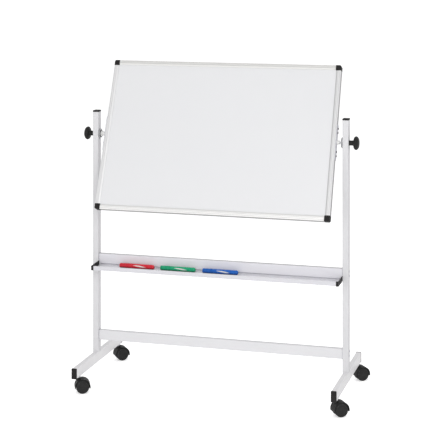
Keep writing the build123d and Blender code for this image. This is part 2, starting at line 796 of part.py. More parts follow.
def clamp_knob(sign):
    """Fluted clamp knob on the pivot bolt, outside the upright."""
    # distance out from the knob's inner end, radius
    hub = [
        (0.0, 0.0),
        (0.0, KNOB_HUB_R),
        (15.0, KNOB_HUB_R),
    ]
    head = [
        (15.0, KNOB_HUB_R),
        (19.5, 15.5),
        (22.0, 24.0),
        (27.0, 31.5),
        (33.0, KNOB_HEAD_R),
        (38.0, 31.6),
        (43.5, 25.5),
        (47.0, 15.0),
        (48.4, 0.0),
    ]
    start = (sign * KNOB_START, 0, PIVOT_Z)
    with BuildPart() as knob:
        with BuildSketch(Plane(origin=start, x_dir=(sign, 0, 0), z_dir=(0, -sign, 0))):
            with BuildLine():
                Polyline(*hub)
                Spline(*head)
                Line(head[-1], hub[0])
            make_face()
        revolve(axis=Axis(origin=start, direction=(sign, 0, 0)))
        # eight flutes round the head
        with BuildSketch(outward_plane(sign, KNOB_START + 18, PIVOT_Z)):
            with PolarLocations(KNOB_HEAD_R + 6.5, 8):
                Circle(9.5)
        extrude(amount=40, mode=Mode.SUBTRACT)
        # blind bore, a little deeper than the bolt reaches
        with BuildSketch(outward_plane(sign, KNOB_START, PIVOT_Z)):
            Circle(PIVOT_R + RUN_FIT)
        extrude(amount=PIVOT_END - KNOB_START + 1.5, mode=Mode.SUBTRACT)
    save(knob, side_of(sign) + "_clamp_knob")


# =====================================================================
# Casters: hooded twin-wheel swivel casters
# stem_plane: on the floor under the stem, local x along the trail.
# axle_plane: between the wheels, local x along the trail, local y up.
# =====================================================================
def caster_hood(prefix, stem_plane, axle_plane):
    with BuildPart() as hood:
        # disc over both wheels, cut off level below the axle
        with BuildSketch(axle_plane.offset(-HOOD_HALF)):
            Circle(HOOD_R)
            with Locations((0, -HOOD_R - HOOD_DROP)):
                Rectangle(3 * HOOD_R, 2 * HOOD_R, mode=Mode.SUBTRACT)
        extrude(amount=2 * HOOD_HALF)
        # stem boss
        with BuildSketch(stem_plane.offset(BOSS_BOTTOM)):
            Circle(BOSS_R)
        extrude(amount=BOSS_TOP - BOSS_BOTTOM)
        # middle web down round the axle
        with BuildSketch(axle_plane.offset(-WEB_HALF)):
            Circle(WEB_R)
        extrude(amount=2 * WEB_HALF)
        # room for the two wheels, open at the sides
        for s in (-1, 1):
            with BuildSketch(axle_plane.offset(WEB_HALF * s)):
                Circle(HOOD_CLEAR)
            extrude(amount=(HOOD_HALF - WEB_HALF + 1) * s, mode=Mode.SUBTRACT)
        # axle bore and stem bore
        with BuildSketch(axle_plane.offset(-WEB_HALF - 1)):
            Circle(AXLE_R)
        extrude(amount=2 * (WEB_HALF + 1), mode=Mode.SUBTRACT)
        with BuildSketch(stem_plane.offset(BOSS_TOP)):
            Circle(STEM_R)
        extrude(amount=-BORE_DEPTH, mode=Mode.SUBTRACT)
    save(hood, prefix + "_hood")


def caster_stem(prefix, stem_plane):
    with BuildPart() as stem:
        with BuildSketch(stem_plane.offset(STEM_BOTTOM)):
            Circle(STEM_R)
        extrude(amount=BORE_DEPTH)
        with BuildSketch(stem_plane.offset(BOSS_TOP)):
            Circle(STEM_COLLAR_R)
        extrude(amount=STEM_COLLAR_T)
        with BuildSketch(stem_plane.offset(BOSS_TOP + STEM_COLLAR_T)):
            Circle(STEM_PIN_R)
        extrude(amount=STEM_PIN_L)
        tip = stem.faces().sort_by(Axis.Z)[-1]
        chamfer(tip.edges(), length=1.0)
    save(stem, prefix + "_stem")


def caster_axle(prefix, axle_plane):
    with BuildPart() as axle:
        with BuildSketch(axle_plane.offset(-AXLE_L / 2)):
            Circle(AXLE_R)
        extrude(amount=AXLE_L)
    save(axle, prefix + "_axle")


def caster_wheel(label, centre, outward, trail):
    """Rounded tread, dished outer face with a centre boss."""
    # distance along the axle from the middle of the caster, radius
    profile = [
        (WHEEL_IN, AXLE_R + RUN_FIT),
        (WHEEL_IN, 20.0),
        (WHEEL_IN + 1.5, 30.5),
        (WHEEL_IN + 3.0, 32.4),
        (WHEEL_IN + 4.6, WHEEL_R),
        (WHEEL_OUT - 4.6, WHEEL_R),
        (WHEEL_OUT - 2.6, 32.4),
        (WHEEL_OUT - 1.2, 30.8),
        (WHEEL_OUT - 0.9, 28.4),
        (WHEEL_OUT - 1.7, 27.6),
        (WHEEL_OUT - 1.7, 26.8),
        (WHEEL_OUT - 0.9, 26.0),
        (WHEEL_OUT - 0.2, 13.0),
        (WHEEL_OUT, 0.0),
        (21.0, 0.0),
        (21.0, AXLE_R + RUN_FIT),
    ]
    with BuildPart() as wheel:
        with BuildSketch(Plane(origin=centre, x_dir=outward, z_dir=trail)):
            with BuildLine():
                Polyline(*profile, close=True)
            make_face()
        revolve(axis=Axis(origin=centre, direction=outward))
    save(wheel, label)


def caster(key):
    stem_x, stem_y, swivel_degrees = CASTERS[key]
    swivel = math.radians(swivel_degrees)
    trail = Vector(math.cos(swivel), math.sin(swivel), 0)
    axle_dir = Vector(-math.sin(swivel), math.cos(swivel), 0)
    stem_foot = Vector(stem_x, stem_y, 0)
    axle_centre = stem_foot + trail * TRAIL + Vector(0, 0, WHEEL_R)
    stem_plane = Plane(origin=stem_foot, x_dir=trail, z_dir=(0, 0, 1))
    axle_plane = Plane(origin=axle_centre, x_dir=trail, z_dir=axle_dir * -1)
    prefix = "caster_" + key
    caster_hood(prefix, stem_plane, axle_plane)
    caster_stem(prefix, stem_plane)
    caster_axle(prefix, axle_plane)
    for s, name in ((-1, "right"), (1, "left")):
        caster_wheel(prefix + "_wheel_" + name, axle_centre, axle_dir * s, trail)


# =====================================================================
# Markers lying in the tray, caps to the left
# Profile columns: distance from the cap end, radius
# =====================================================================
MARKER_CAP_PROFILE = [
    (0.0, 0.0),
    (0.0, 9.4),
    (1.4, 10.8),
    (5.0, 11.2),
    (MARKER_CAP_L - 1.0, MARKER_CAP_R),
    (MARKER_CAP_L, MARKER_CAP_R - 0.6),
    (MARKER_CAP_L, 8.6),
    (9.0, 7.9),
    (9.0, 0.0),
]
MARKER_BARREL_PROFILE = [
    (22.0, 0.0),
    (22.0, 1.6),
    (27.0, 3.0),
    (27.5, 5.0),
    (36.0, 6.0),
    (37.0, 7.6),
    (MARKER_CAP_L + 0.3, 8.1),
    (MARKER_CAP_L + 0.3, MARKER_R - 0.3),
    (MARKER_CAP_L + 1.0, MARKER_R),
    (MARKER_L - 38.0, MARKER_R),
    (MARKER_L - 37.6, MARKER_R - 0.5),
    (MARKER_L - 37.0, MARKER_R - 0.5),
    (MARKER_L - 36.6, MARKER_R),
    (MARKER_L - 8.0, MARKER_R - 0.1),
    (MARKER_L - 4.8, MARKER_R - 1.1),
    (MARKER_L - 2.2, MARKER_R - 3.2),
    (MARKER_L - 0.6, MARKER_R - 6.2),
    (MARKER_L, MARKER_R - 9.0),
    (MARKER_L, 0.0),
]


def marker_piece(label, start_x, profile):
    start = (start_x, MARKER_Y, MARKER_Z)
    with BuildPart() as piece:
        with BuildSketch(Plane(origin=start, x_dir=(1, 0, 0), z_dir=(0, -1, 0))):
            with BuildLine():
                Polyline(*profile, close=True)
            make_face()
        revolve(axis=Axis(origin=start, direction=(1, 0, 0)))
    save(piece, label)


# =====================================================================
# Build everything
# =====================================================================
for side_sign in (-1, 1):
    upright(side_sign)
    foot(side_sign)
    tray_cap(side_sign)
    pivot_bracket(side_sign)
    pivot_bolt(side_sign)
    clamp_knob(side_sign)

upright_caps()
foot_end_caps()
crossbar("lower_crossbar", LOWER_BAR_TOP)
crossbar("upper_crossbar", UPPER_BAR_TOP, TRAY_SCREW_SPOTS)
crossbar_end_plates()
crossbar_bolts()
pen_tray()
tray_screws()
pivot_bushes()
friction_washers()
caster_sockets()

sheet("front_sheet", margin_level=PANEL_T / 2 - SHEET_T, face_level=PANEL_T / 2 - SHEET_T)
sheet("back_sheet", margin_level=-PANEL_T / 2 + SHEET_DROP, face_level=-PANEL_T / 2)
board_core()
frame_rails()
board_corner_caps()
pivot_spacers()
left_pivot_hub()
bracket_screws()

for caster_key in CASTERS:
    caster(caster_key)

for colour, marker_x in MARKER_START.items():
    marker_piece("marker_" + colour + "_cap", marker_x, MARKER_CAP_PROFILE)
    marker_piece("marker_" + colour + "_barrel", marker_x, MARKER_BARREL_PROFILE)
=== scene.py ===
import bpy
import bmesh
import math
from mathutils import Matrix, Vector


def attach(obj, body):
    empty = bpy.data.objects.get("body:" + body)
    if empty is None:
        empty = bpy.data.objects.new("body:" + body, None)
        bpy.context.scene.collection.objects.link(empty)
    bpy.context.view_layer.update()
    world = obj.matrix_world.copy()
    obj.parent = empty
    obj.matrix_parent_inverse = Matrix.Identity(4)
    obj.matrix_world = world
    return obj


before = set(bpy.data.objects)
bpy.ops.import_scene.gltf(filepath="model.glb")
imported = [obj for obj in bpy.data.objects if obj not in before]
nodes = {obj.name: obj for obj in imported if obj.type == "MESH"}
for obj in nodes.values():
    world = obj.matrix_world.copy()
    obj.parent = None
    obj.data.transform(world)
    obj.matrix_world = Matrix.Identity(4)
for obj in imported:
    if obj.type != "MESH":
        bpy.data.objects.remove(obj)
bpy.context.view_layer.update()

FRAME_Y = -0.0269062         # the uprights' centre plane
TILT = math.radians(23.0)    # rest lean of the board
PIVOT = Vector((0.0, FRAME_Y, 1.254))


# ---------------------------------------------------------------- materials
class Mat:
    """A small wrapper that keeps the node code short."""

    def __init__(self, name):
        self.mat = bpy.data.materials.new(name)
        self.mat.use_nodes = True
        self.tree = self.mat.node_tree
        self.tree.nodes.clear()
        self.out = self.node("ShaderNodeOutputMaterial")
        self.bsdf = self.node("ShaderNodeBsdfPrincipled")
        self.tree.links.new(self.bsdf.outputs[0], self.out.inputs[0])
        self.co = self.node("ShaderNodeTexCoord").outputs["Object"]
        self.bevel = None

    def node(self, kind, **props):
        n = self.tree.nodes.new(kind)
        for k, v in props.items():
            setattr(n, k, v)
        return n

    def link(self, a, b):
        self.tree.links.new(a, b)

    def put(self, value, socket):
        if isinstance(value, bpy.types.NodeSocket):
            self.link(value, socket)
        elif isinstance(value, (tuple, list)) and len(value) == 3 and len(socket.default_value) == 4:
            socket.default_value = (*value, 1.0)
        else:
            socket.default_value = value

    def math(self, op, a, b=None, c=None, clamp=False):
        n = self.node("ShaderNodeMath", operation=op, use_clamp=clamp)
        for v, s in zip((a, b, c), n.inputs):
            if v is not None:
                self.put(v, s)
        return n.outputs[0]

    def vmath(self, op, a, b=None, out=0):
        n = self.node("ShaderNodeVectorMath", operation=op)
        self.put(a, n.inputs[0])
        if b is not None:
            self.put(b, n.inputs[1])
        return n.outputs[out]

    def mapped(self, scale=(1, 1, 1), rot=(0, 0, 0), loc=(0, 0, 0), src=None):
        n = self.node("ShaderNodeMapping")
        n.inputs["Location"].default_value = loc
        n.inputs["Rotation"].default_value = rot
        n.inputs["Scale"].default_value = scale
        self.link(src or self.co, n.inputs["Vector"])
        return n.outputs[0]

    def noise(self, scale, detail=2.0, rough=0.5, vec=None, distortion=0.0):
        n = self.node("ShaderNodeTexNoise")
        n.inputs["Scale"].default_value = scale
        n.inputs["Detail"].default_value = detail
        n.inputs["Roughness"].default_value = rough
        n.inputs["Distortion"].default_value = distortion
        self.link(vec if vec is not None else self.co, n.inputs["Vector"])
        return n.outputs["Fac"]

    def voronoi(self, scale, vec=None, feature="F1"):
        n = self.node("ShaderNodeTexVoronoi", feature=feature)
        n.inputs["Scale"].default_value = scale
        self.link(vec if vec is not None else self.co, n.inputs["Vector"])
        return n.outputs["Distance"]

    def ramp(self, fac, lo, hi, a=0.0, b=1.0):
        n = self.node("ShaderNodeMapRange")
        n.clamp = True
        self.put(fac, n.inputs["Value"])
        for v, s in zip((lo, hi, a, b), (1, 2, 3, 4)):
            n.inputs[s].default_value = v
        return n.outputs[0]

    def mix(self, fac, a, b):
        n = self.node("ShaderNodeMix", data_type="RGBA")
        self.put(fac, n.inputs[0])
        self.put(a, n.inputs[6])
        self.put(b, n.inputs[7])
        return n.outputs[2]

    def edges(self, radius, samples=4):
        """(rounded normal, 0..1 mask along sharp edges)"""
        b = self.node("ShaderNodeBevel", samples=samples)
        b.inputs["Radius"].default_value = radius
        self.bevel = b.outputs[0]
        geo = self.node("ShaderNodeNewGeometry").outputs["Normal"]
        d = self.vmath("DOT_PRODUCT", self.bevel, geo, out="Value")
        return self.ramp(d, 0.995, 0.86)

    def bump(self, height, strength, distance, normal=None):
        n = self.node("ShaderNodeBump")
        n.inputs["Strength"].default_value = strength
        n.inputs["Distance"].default_value = distance
        self.link(height, n.inputs["Height"])
        src = normal if normal is not None else self.bevel
        if src is not None:
            self.link(src, n.inputs["Normal"])
        self.link(n.outputs[0], self.bsdf.inputs["Normal"])
        return n.outputs[0]

    def facing(self, axis):
        """How far the surface turns towards an object-space direction, -1..1."""
        return self.vmath("DOT_PRODUCT", self.node("ShaderNodeTexCoord").outputs["Normal"], axis, out="Value")

    def set(self, **kw):
        for k, v in kw.items():
            self.put(v, self.bsdf.inputs[k.replace("_", " ")])
        return self


def paint(name, colour, warm, rough=0.36, up=None):
    """Satin powder coat on steel: orange peel, slight tone drift, rubbed edges."""
    m = Mat(name)
    edge = m.edges(0.0012)
    drift = m.noise(3.1, 3.0, 0.55)
    speck = m.noise(900.0, 2.0, 0.6)
    peel = m.noise(620.0, 2.0, 0.45)
    scuff = m.noise(46.0, 5.0, 0.7, distortion=0.6)
    base = m.mix(m.ramp(drift, 0.35, 0.65), colour, warm)
    base = m.mix(m.math("MULTIPLY", m.ramp(speck, 0.35, 0.75), 0.10), base, tuple(c * 0.86 for c in colour))
    worn = m.math("MULTIPLY", edge, m.ramp(scuff, 0.42, 0.72), clamp=True)
    base = m.mix(m.math("MULTIPLY", worn, 0.35), base, tuple(min(1.0, c * 1.10) for c in colour))
    rubs = m.ramp(m.noise(7.0, 6.0, 0.72, m.mapped((1.0, 1.0, 6.0))), 0.60, 0.78)
    base = m.mix(m.math("MULTIPLY", rubs, 0.10), base, tuple(c * 0.88 for c in warm))
    if up:
        # painted light and shade: upward faces take the up tone, set for how the light falls on the tops of each part
        base = m.mix(m.ramp(m.facing((0.0, 0.0, 1.0)), 0.6, 0.95), base, up)
    r = m.math("ADD", m.math("MULTIPLY", speck, 0.10), rough - 0.05)
    r = m.math("ADD", r, m.math("MULTIPLY", rubs, 0.12))
    m.set(Base_Color=base, Roughness=r, IOR=1.5, Coat_Weight=0.12, Coat_Roughness=0.25)
    m.bump(peel, 0.16, 0.0003)
    return m.mat


def enamel(name, colour):
    """Glossy white enamel: wipe haze, faint dust and a very light waviness."""
    m = Mat(name)
    m.edges(0.0004)
    tilted = m.mapped(rot=(-TILT, 0.0, 0.0), loc=(0.0, 0.0, 0.0))
    haze = m.noise(2.2, 4.0, 0.6, m.mapped((1.0, 1.0, 2.4), src=tilted), 0.4)
    wipes = m.noise(5.0, 6.0, 0.66, m.mapped((0.35, 1.0, 3.0), rot=(0.0, 0.3, 0.0), src=tilted), 1.2)
    dust = m.voronoi(210.0)
    wave = m.noise(24.0, 2.0, 0.4)
    base = m.mix(m.math("MULTIPLY", m.ramp(haze, 0.38, 0.66), 0.22), colour, (colour[0] * 0.975, colour[1] * 0.978, colour[2] * 0.99))
    base = m.mix(m.math("MULTIPLY", m.ramp(wipes, 0.50, 0.78), 0.05), base, (colour[0] * 0.95, colour[1] * 0.955, colour[2] * 0.97))
    base = m.mix(m.math("MULTIPLY", m.ramp(dust, 0.045, 0.02), 0.05), base, (0.55, 0.55, 0.58))
    r = m.math("ADD", 0.24, m.math("MULTIPLY", m.ramp(wipes, 0.45, 0.75), 0.010))
    r = m.math("ADD", r, m.math("MULTIPLY", m.noise(480.0, 2.0), 0.04))
    m.set(Base_Color=base, Roughness=r, IOR=1.5, Coat_Weight=0.25, Coat_Roughness=0.16)
    m.bump(wave, 0.05, 0.0008)
    return m.mat


def anodised(name, colour, along, side_dir, flank_painted_shade, border_painted_shade):
    """Satin anodised extrusion: die lines, with painted shade in the grooves, on the flank and on the inner border."""
    m = Mat(name)
    edge = m.edges(0.0007)
    if along == "x":
        lines = m.noise(1.0, 2.0, 0.7, m.mapped((3.0, 1900.0, 1900.0), rot=(-TILT, 0.0, 0.0)))
        broad = m.noise(1.0, 2.0, 0.5, m.mapped((1.4, 160.0, 160.0), rot=(-TILT, 0.0, 0.0)))
    else:
        lines = m.noise(1.0, 2.0, 0.7, m.mapped((1900.0, 1900.0, 3.0), rot=(-TILT, 0.0, 0.0)))
        broad = m.noise(1.0, 2.0, 0.5, m.mapped((160.0, 160.0, 1.4), rot=(-TILT, 0.0, 0.0)))
    cloud = m.noise(9.0, 3.0, 0.6)
    dark = tuple(c * 0.92 for c in colour)
    base = m.mix(m.math("MULTIPLY", m.ramp(lines, 0.3, 0.7), 0.35), colour, dark)
    base = m.mix(m.math("MULTIPLY", m.ramp(broad, 0.35, 0.65), 0.25), base, dark)
    # distance in from the extrusion's outer edge
    rel = m.vmath("SUBTRACT", m.co, tuple(PIVOT))
    if along == "x":
        run = m.vmath("DOT_PRODUCT", rel, (0.0, math.sin(TILT), math.cos(TILT)), out="Value")
        depth = m.math("SUBTRACT", 0.392, m.math("ABSOLUTE", run))
    else:
        run = m.vmath("DOT_PRODUCT", rel, (1.0, 0.0, 0.0), out="Value")
        depth = m.math("SUBTRACT", 0.600, m.math("ABSOLUTE", run))
    # painted shade: two dark lines where the grooves lie
    for groove in (0.0065, 0.0143):
        off = m.math("ABSOLUTE", m.math("SUBTRACT", depth, groove))
        base = m.mix(m.math("MULTIPLY", m.ramp(off, 0.0011, 0.0005), 0.55), base, tuple(c * 0.62 for c in colour))
    # painted shade: the inner border, more than 18 mm in from the outer edge, takes its own shade tone
    border = m.ramp(depth, 0.0176, 0.0184)
    base = m.mix(border, base, tuple(c * border_painted_shade for c in colour))
    # painted shade: the outer flank, facing side_dir, takes its own shade tone
    flank = m.ramp(m.facing(side_dir), 0.75, 0.95)
    base = m.mix(flank, base, tuple(c * flank_painted_shade for c in colour))
    nicks = m.math("MULTIPLY", edge, m.ramp(m.noise(150.0, 3.0, 0.7), 0.55, 0.72))
    base = m.mix(m.math("MULTIPLY", nicks, 0.45), base, (0.95, 0.95, 0.94))
    r = m.math("ADD", 0.36, m.math("MULTIPLY", lines, 0.12))
    r = m.math("ADD", r, m.math("MULTIPLY", m.ramp(cloud, 0.3, 0.7), 0.05))
    m.set(Base_Color=base, Roughness=r, Metallic=0.35, IOR=1.5)
    m.bump(lines, 0.10, 0.0002)
    return m.mat


def moulded(name, colour, rough=0.5, grain=1400.0, sheen=0.0):
    """Moulded black plastic: spark-eroded grain, lighter rubbed edges, dust."""
    m = Mat(name)
    edge = m.edges(0.0010)
    fine = m.voronoi(grain)
    drift = m.noise(30.0, 3.0, 0.6)
    rub = m.noise(120.0, 4.0, 0.7)
    base = m.mix(m.ramp(drift, 0.3, 0.7), colour, tuple(c * 1.35 for c in colour))
    base = m.mix(m.math("MULTIPLY", m.math("MULTIPLY", edge, m.ramp(rub, 0.40, 0.68)), 0.5), base, (0.11, 0.11, 0.11))
    dust = m.math("MULTIPLY", m.ramp(m.noise(14.0, 5.0, 0.7), 0.50, 0.78), 0.06)
    base = m.mix(dust, base, (0.26, 0.25, 0.24))
    r = m.math("ADD", rough, m.math("MULTIPLY", m.ramp(drift, 0.3, 0.7), 0.10))
    m.set(Base_Color=base, Roughness=r, IOR=1.49, Specular_IOR_Level=0.17)
    if sheen:
        m.set(Coat_Weight=sheen, Coat_Roughness=0.22)
    m.bump(fine, 0.28, 0.00025)
    return m.mat


def zinc(name, colour, rough=0.30, rim_painted_shade=None):
    """Bright zinc plate with crystalline mottling."""
    m = Mat(name)
    edge = m.edges(0.0004)
    cell = m.voronoi(420.0)
    cloud = m.noise(60.0, 4.0, 0.6)
    base = m.mix(m.ramp(cloud, 0.3, 0.7), colour, (colour[0] * 0.86, colour[1] * 0.86, colour[2] * 0.90))
    base = m.mix(m.math("MULTIPLY", edge, 0.4), base, (0.88, 0.88, 0.88))
    if rim_painted_shade:
        # painted shade: everything that does not face along X, the rim, takes the darker colour passed in
        flat = m.ramp(m.math("ABSOLUTE", m.facing((1.0, 0.0, 0.0))), 0.35, 0.75)
        base = m.mix(flat, rim_painted_shade, base)
    r = m.math("ADD", rough, m.math("MULTIPLY", m.ramp(cell, 0.0, 0.6), 0.14))
    m.set(Base_Color=base, Roughness=r, Metallic=1.0)
    m.bump(cloud, 0.10, 0.0002)
    return m.mat


def nylon(name, colour, rough=0.45):
    m = Mat(name)
    m.edges(0.0006)
    drift = m.noise(55.0, 3.0)
    turn = m.noise(1.0, 2.0, 0.6, m.mapped((1500.0, 40.0, 40.0)))
    base = m.mix(m.ramp(drift, 0.3, 0.7), colour, tuple(c * 0.92 for c in colour))
    m.set(Base_Color=base, Roughness=m.math("ADD", rough, m.math("MULTIPLY", turn, 0.10)), IOR=1.52,
          Subsurface_Weight=0.05, Subsurface_Radius=(0.002, 0.002, 0.002))
    m.bump(turn, 0.12, 0.0002)
    return m.mat


def fibreboard(name):
    m = Mat(name)
    m.edges(0.0004)
    fib = m.noise(300.0, 6.0, 0.75, m.mapped((1.0, 3.0, 1.0)))
    m.set(Base_Color=m.mix(m.ramp(fib, 0.3, 0.7), (0.34, 0.23, 0.13), (0.48, 0.35, 0.21)), Roughness=0.85)
    m.bump(fib, 0.3, 0.0004)
    return m.mat


def wheel(name):
    """Hard nylon wheel: near black, with dust patches and gritty roughness."""
    m = Mat(name)
    edge = m.edges(0.0008)
    drift = m.noise(42.0, 4.0, 0.65)
    grit = m.noise(700.0, 3.0, 0.7)
    geo = m.node("ShaderNodeNewGeometry").outputs["Normal"]
    base = m.mix(m.ramp(drift, 0.3, 0.7), (0.014, 0.014, 0.014), (0.022, 0.022, 0.022))
    # dust in patches from noise, over the whole wheel
    dust = m.math("MULTIPLY", m.ramp(m.noise(120.0, 5.0, 0.75), 0.45, 0.75), 0.10)
    base = m.mix(dust, base, (0.16, 0.15, 0.14))
    # painted highlight: the sharp edges lighter, standing in for the rims catching the light
    base = m.mix(m.math("MULTIPLY", edge, 0.6), base, (0.15, 0.15, 0.155))
    r = m.math("ADD", 0.42, m.math("MULTIPLY", m.ramp(grit, 0.3, 0.7), 0.16))
    m.set(Base_Color=base, Roughness=r, IOR=1.5, Specular_IOR_Level=0.17, Coat_Weight=0.03, Coat_Roughness=0.3)
    m.bump(grit, 0.18, 0.0003)
    return m.mat


def marker_paint(name, colour, x0, cap=False):
    """Glossy marker barrel with a generic pale brush-stroke print, or its cap."""
    m = Mat(name)
    edge = m.edges(0.0005)
    sep = m.node("ShaderNodeSeparateXYZ")
    m.link(m.co, sep.inputs[0])
    flow = m.noise(70.0, 3.0, 0.6)
    dark = tuple(c * 0.72 for c in colour)
    base = m.mix(m.ramp(flow, 0.35, 0.7), colour, tuple(min(1.0, c * 1.10) for c in colour))
    if not cap:
        # a leaf-shaped stroke on the side that faces the user: along X from 70 to 142 mm
        u = m.ramp(sep.outputs["X"], x0 + 0.070, x0 + 0.142)
        crown = m.math("MULTIPLY", m.math("SINE", m.math("MULTIPLY", u, math.pi)), 0.0032)
        mid = m.math("ADD", 0.5958, m.math("MULTIPLY", m.math("SUBTRACT", 0.5, u), 0.006))
        away = m.math("ABSOLUTE", m.math("SUBTRACT", sep.outputs["Z"], mid))
        inside = m.ramp(m.math("SUBTRACT", crown, away), 0.0, 0.0004)
        # a second thin stroke under the first one's right end
        u2 = m.ramp(sep.outputs["X"], x0 + 0.104, x0 + 0.146)
        crown2 = m.math("MULTIPLY", m.math("SINE", m.math("MULTIPLY", u2, math.pi)), 0.0014)
        away2 = m.math("ABSOLUTE", m.math("SUBTRACT", sep.outputs["Z"], 0.5905))
        inside2 = m.ramp(m.math("SUBTRACT", crown2, away2), 0.0, 0.0004)
        both = m.math("MAXIMUM", inside, m.math("MULTIPLY", inside2, 0.7))
        brush = m.ramp(m.noise(1.0, 3.0, 0.7, m.mapped((60.0, 900.0, 900.0))), 0.25, 0.5)
        front = m.ramp(m.math("SUBTRACT", FRAME_Y - 0.038, sep.outputs["Y"]), 0.0, 0.002)
        print_mask = m.math("MULTIPLY", m.math("MULTIPLY", both, front), m.math("ADD", 0.6, m.math("MULTIPLY", brush, 0.4)))
        base = m.mix(print_mask, base, (0.74, 0.73, 0.70))
    # painted shade: the sharp edges, cap and barrel ends, darker
    base = m.mix(m.math("MULTIPLY", edge, 0.3), base, dark)
    # painted shade: the underside, facing down, darker than the top
    base = m.mix(m.math("MULTIPLY", m.ramp(m.facing((0.0, 0.0, -1.0)), 0.05, 0.55), 0.75), base, tuple(c * 0.35 for c in colour))
    r = m.math("ADD", 0.22, m.math("MULTIPLY", flow, 0.10))
    m.set(Base_Color=base, Roughness=r, IOR=1.48, Specular_IOR_Level=0.30, Coat_Weight=0.12, Coat_Roughness=0.12)
    m.bump(m.noise(300.0, 2.0), 0.05, 0.0002)
    return m.mat


# One powder coat in real life, kept as copies whose tones stand in for the light and shade on each part (painted
# shading); the up tones paint the tray's top faces lighter (painted light) and the tops of the bars and feet darker
# (painted shade).
silver = paint("silver_powder_coat", (0.715, 0.712, 0.728), (0.698, 0.695, 0.712), up=(0.65, 0.648, 0.66))
left_post_painted_shading = paint("left_upright_powder_coat_painted_shading", (0.652, 0.649, 0.664), (0.640, 0.637, 0.652))
right_post_painted_shading = paint("right_upright_powder_coat_painted_shading", (0.648, 0.645, 0.660), (0.635, 0.632, 0.647))
foot_painted_shading = paint("foot_powder_coat_painted_shading", (0.795, 0.785, 0.795), (0.780, 0.770, 0.782), up=(0.765, 0.757, 0.768))
tray_painted_shading = paint("tray_powder_coat_painted_shading", (0.648, 0.643, 0.678), (0.633, 0.628, 0.662), up=(0.85, 0.845, 0.88))
upper_bar_painted_shading = paint("upper_bar_powder_coat_painted_shading", (0.755, 0.748, 0.785), (0.740, 0.733, 0.770), up=(0.50, 0.498, 0.51))
white = enamel("white_enamel", (0.722, 0.724, 0.736))
DOWN = (0.0, -math.sin(TILT), -math.cos(TILT))
# One anodised extrusion in real life, kept as a copy per rail whose colour stands in for the light on that rail
# (painted shading); the last two numbers paint shade on its outer flank and its inner border.
rail_top_painted_shading = anodised("anodised_top_rail_painted_shading", (0.72, 0.715, 0.70), "x", tuple(-c for c in DOWN), 0.86, 1.0)
rail_bottom_painted_shading = anodised("anodised_bottom_rail_painted_shading", (0.88, 0.875, 0.865), "x", DOWN, 0.44, 0.80)
rail_left_painted_shading = anodised("anodised_left_rail_painted_shading", (0.765, 0.764, 0.768), "v", (-1.0, 0.0, 0.0), 0.7, 0.90)
rail_right_painted_shading = anodised("anodised_right_rail_painted_shading", (0.728, 0.727, 0.732), "v", (1.0, 0.0, 0.0), 0.60, 0.74)
black = moulded("black_moulded_plastic", (0.0125, 0.0115, 0.0115), 0.50)
collar_grey = moulded("dark_grey_collar_plastic", (0.055, 0.055, 0.058), 0.50)
knob_black = moulded("black_knob_plastic", (0.012, 0.012, 0.012), 0.42, 1800.0, 0.06)
hood_black = moulded("black_hood_plastic", (0.012, 0.012, 0.012), 0.46, 1600.0, 0.05)
dark_steel = zinc("blackened_screws", (0.20, 0.20, 0.205), 0.38)
# the washers' dark rim colour is painted shade
washer_steel = zinc("nickel_washers", (0.84, 0.84, 0.84), 0.42, (0.30, 0.30, 0.31))
steel = zinc("zinc_plate", (0.62, 0.62, 0.65))
bracket_steel = zinc("zinc_bracket", (0.66, 0.66, 0.69), 0.34)
spacer = nylon("spacer_nylon", (0.74, 0.74, 0.73))
core = fibreboard("fibreboard")
tread = wheel("caster_wheel_nylon")

MARKERS = {"red": (-0.5096, (0.62, 0.014, 0.030)), "green": (-0.2923, (0.003, 0.34, 0.155)), "blue": (-0.0712, (0.005, 0.105, 0.46))}


def dress(names, mat):
    for n in names:
        o = nodes[n]
        o.data.materials.clear()
        o.data.materials.append(mat)


dress(["lower_crossbar"], silver)
dress(["left_upright"], left_post_painted_shading)
dress(["right_upright"], right_post_painted_shading)
dress(["left_foot", "right_foot"], foot_painted_shading)
dress(["upper_crossbar"], upper_bar_painted_shading)
dress(["pen_tray"], tray_painted_shading)
dress(["front_sheet", "back_sheet"], white)
dress(["board_core"], core)
dress(["frame_top_rail"], rail_top_painted_shading)
dress(["frame_bottom_rail"], rail_bottom_painted_shading)
dress(["frame_left_rail"], rail_left_painted_shading)
dress(["frame_right_rail"], rail_right_painted_shading)
dress(["upright_caps", "foot_end_caps", "tray_left_cap", "tray_right_cap", "board_corner_caps", "pivot_bushes"], black)
dress(["left_clamp_knob", "right_clamp_knob"], knob_black)
dress(["friction_washers"], washer_steel)
dress(["left_pivot_hub"], collar_grey)
dress(["bracket_screws"], dark_steel)
dress(["crossbar_end_plates", "crossbar_bolts", "tray_screws", "left_pivot_bolt", "right_pivot_bolt", "caster_sockets"], steel)
dress(["left_pivot_bracket", "right_pivot_bracket"], bracket_steel)
dress(["pivot_spacers"], spacer)
for key in ("fl", "fr", "rl", "rr"):
    dress([f"caster_{key}_hood"], hood_black)
    dress([f"caster_{key}_stem", f"caster_{key}_axle"], steel)
    dress([f"caster_{key}_wheel_left", f"caster_{key}_wheel_right"], tread)
for name, (x0, colour) in MARKERS.items():
    dress([f"marker_{name}_barrel"], marker_paint(f"marker_{name}_paint", colour, x0))
    dress([f"marker_{name}_cap"], marker_paint(f"marker_{name}_cap_paint", tuple(c * 0.9 for c in colour), x0, True))


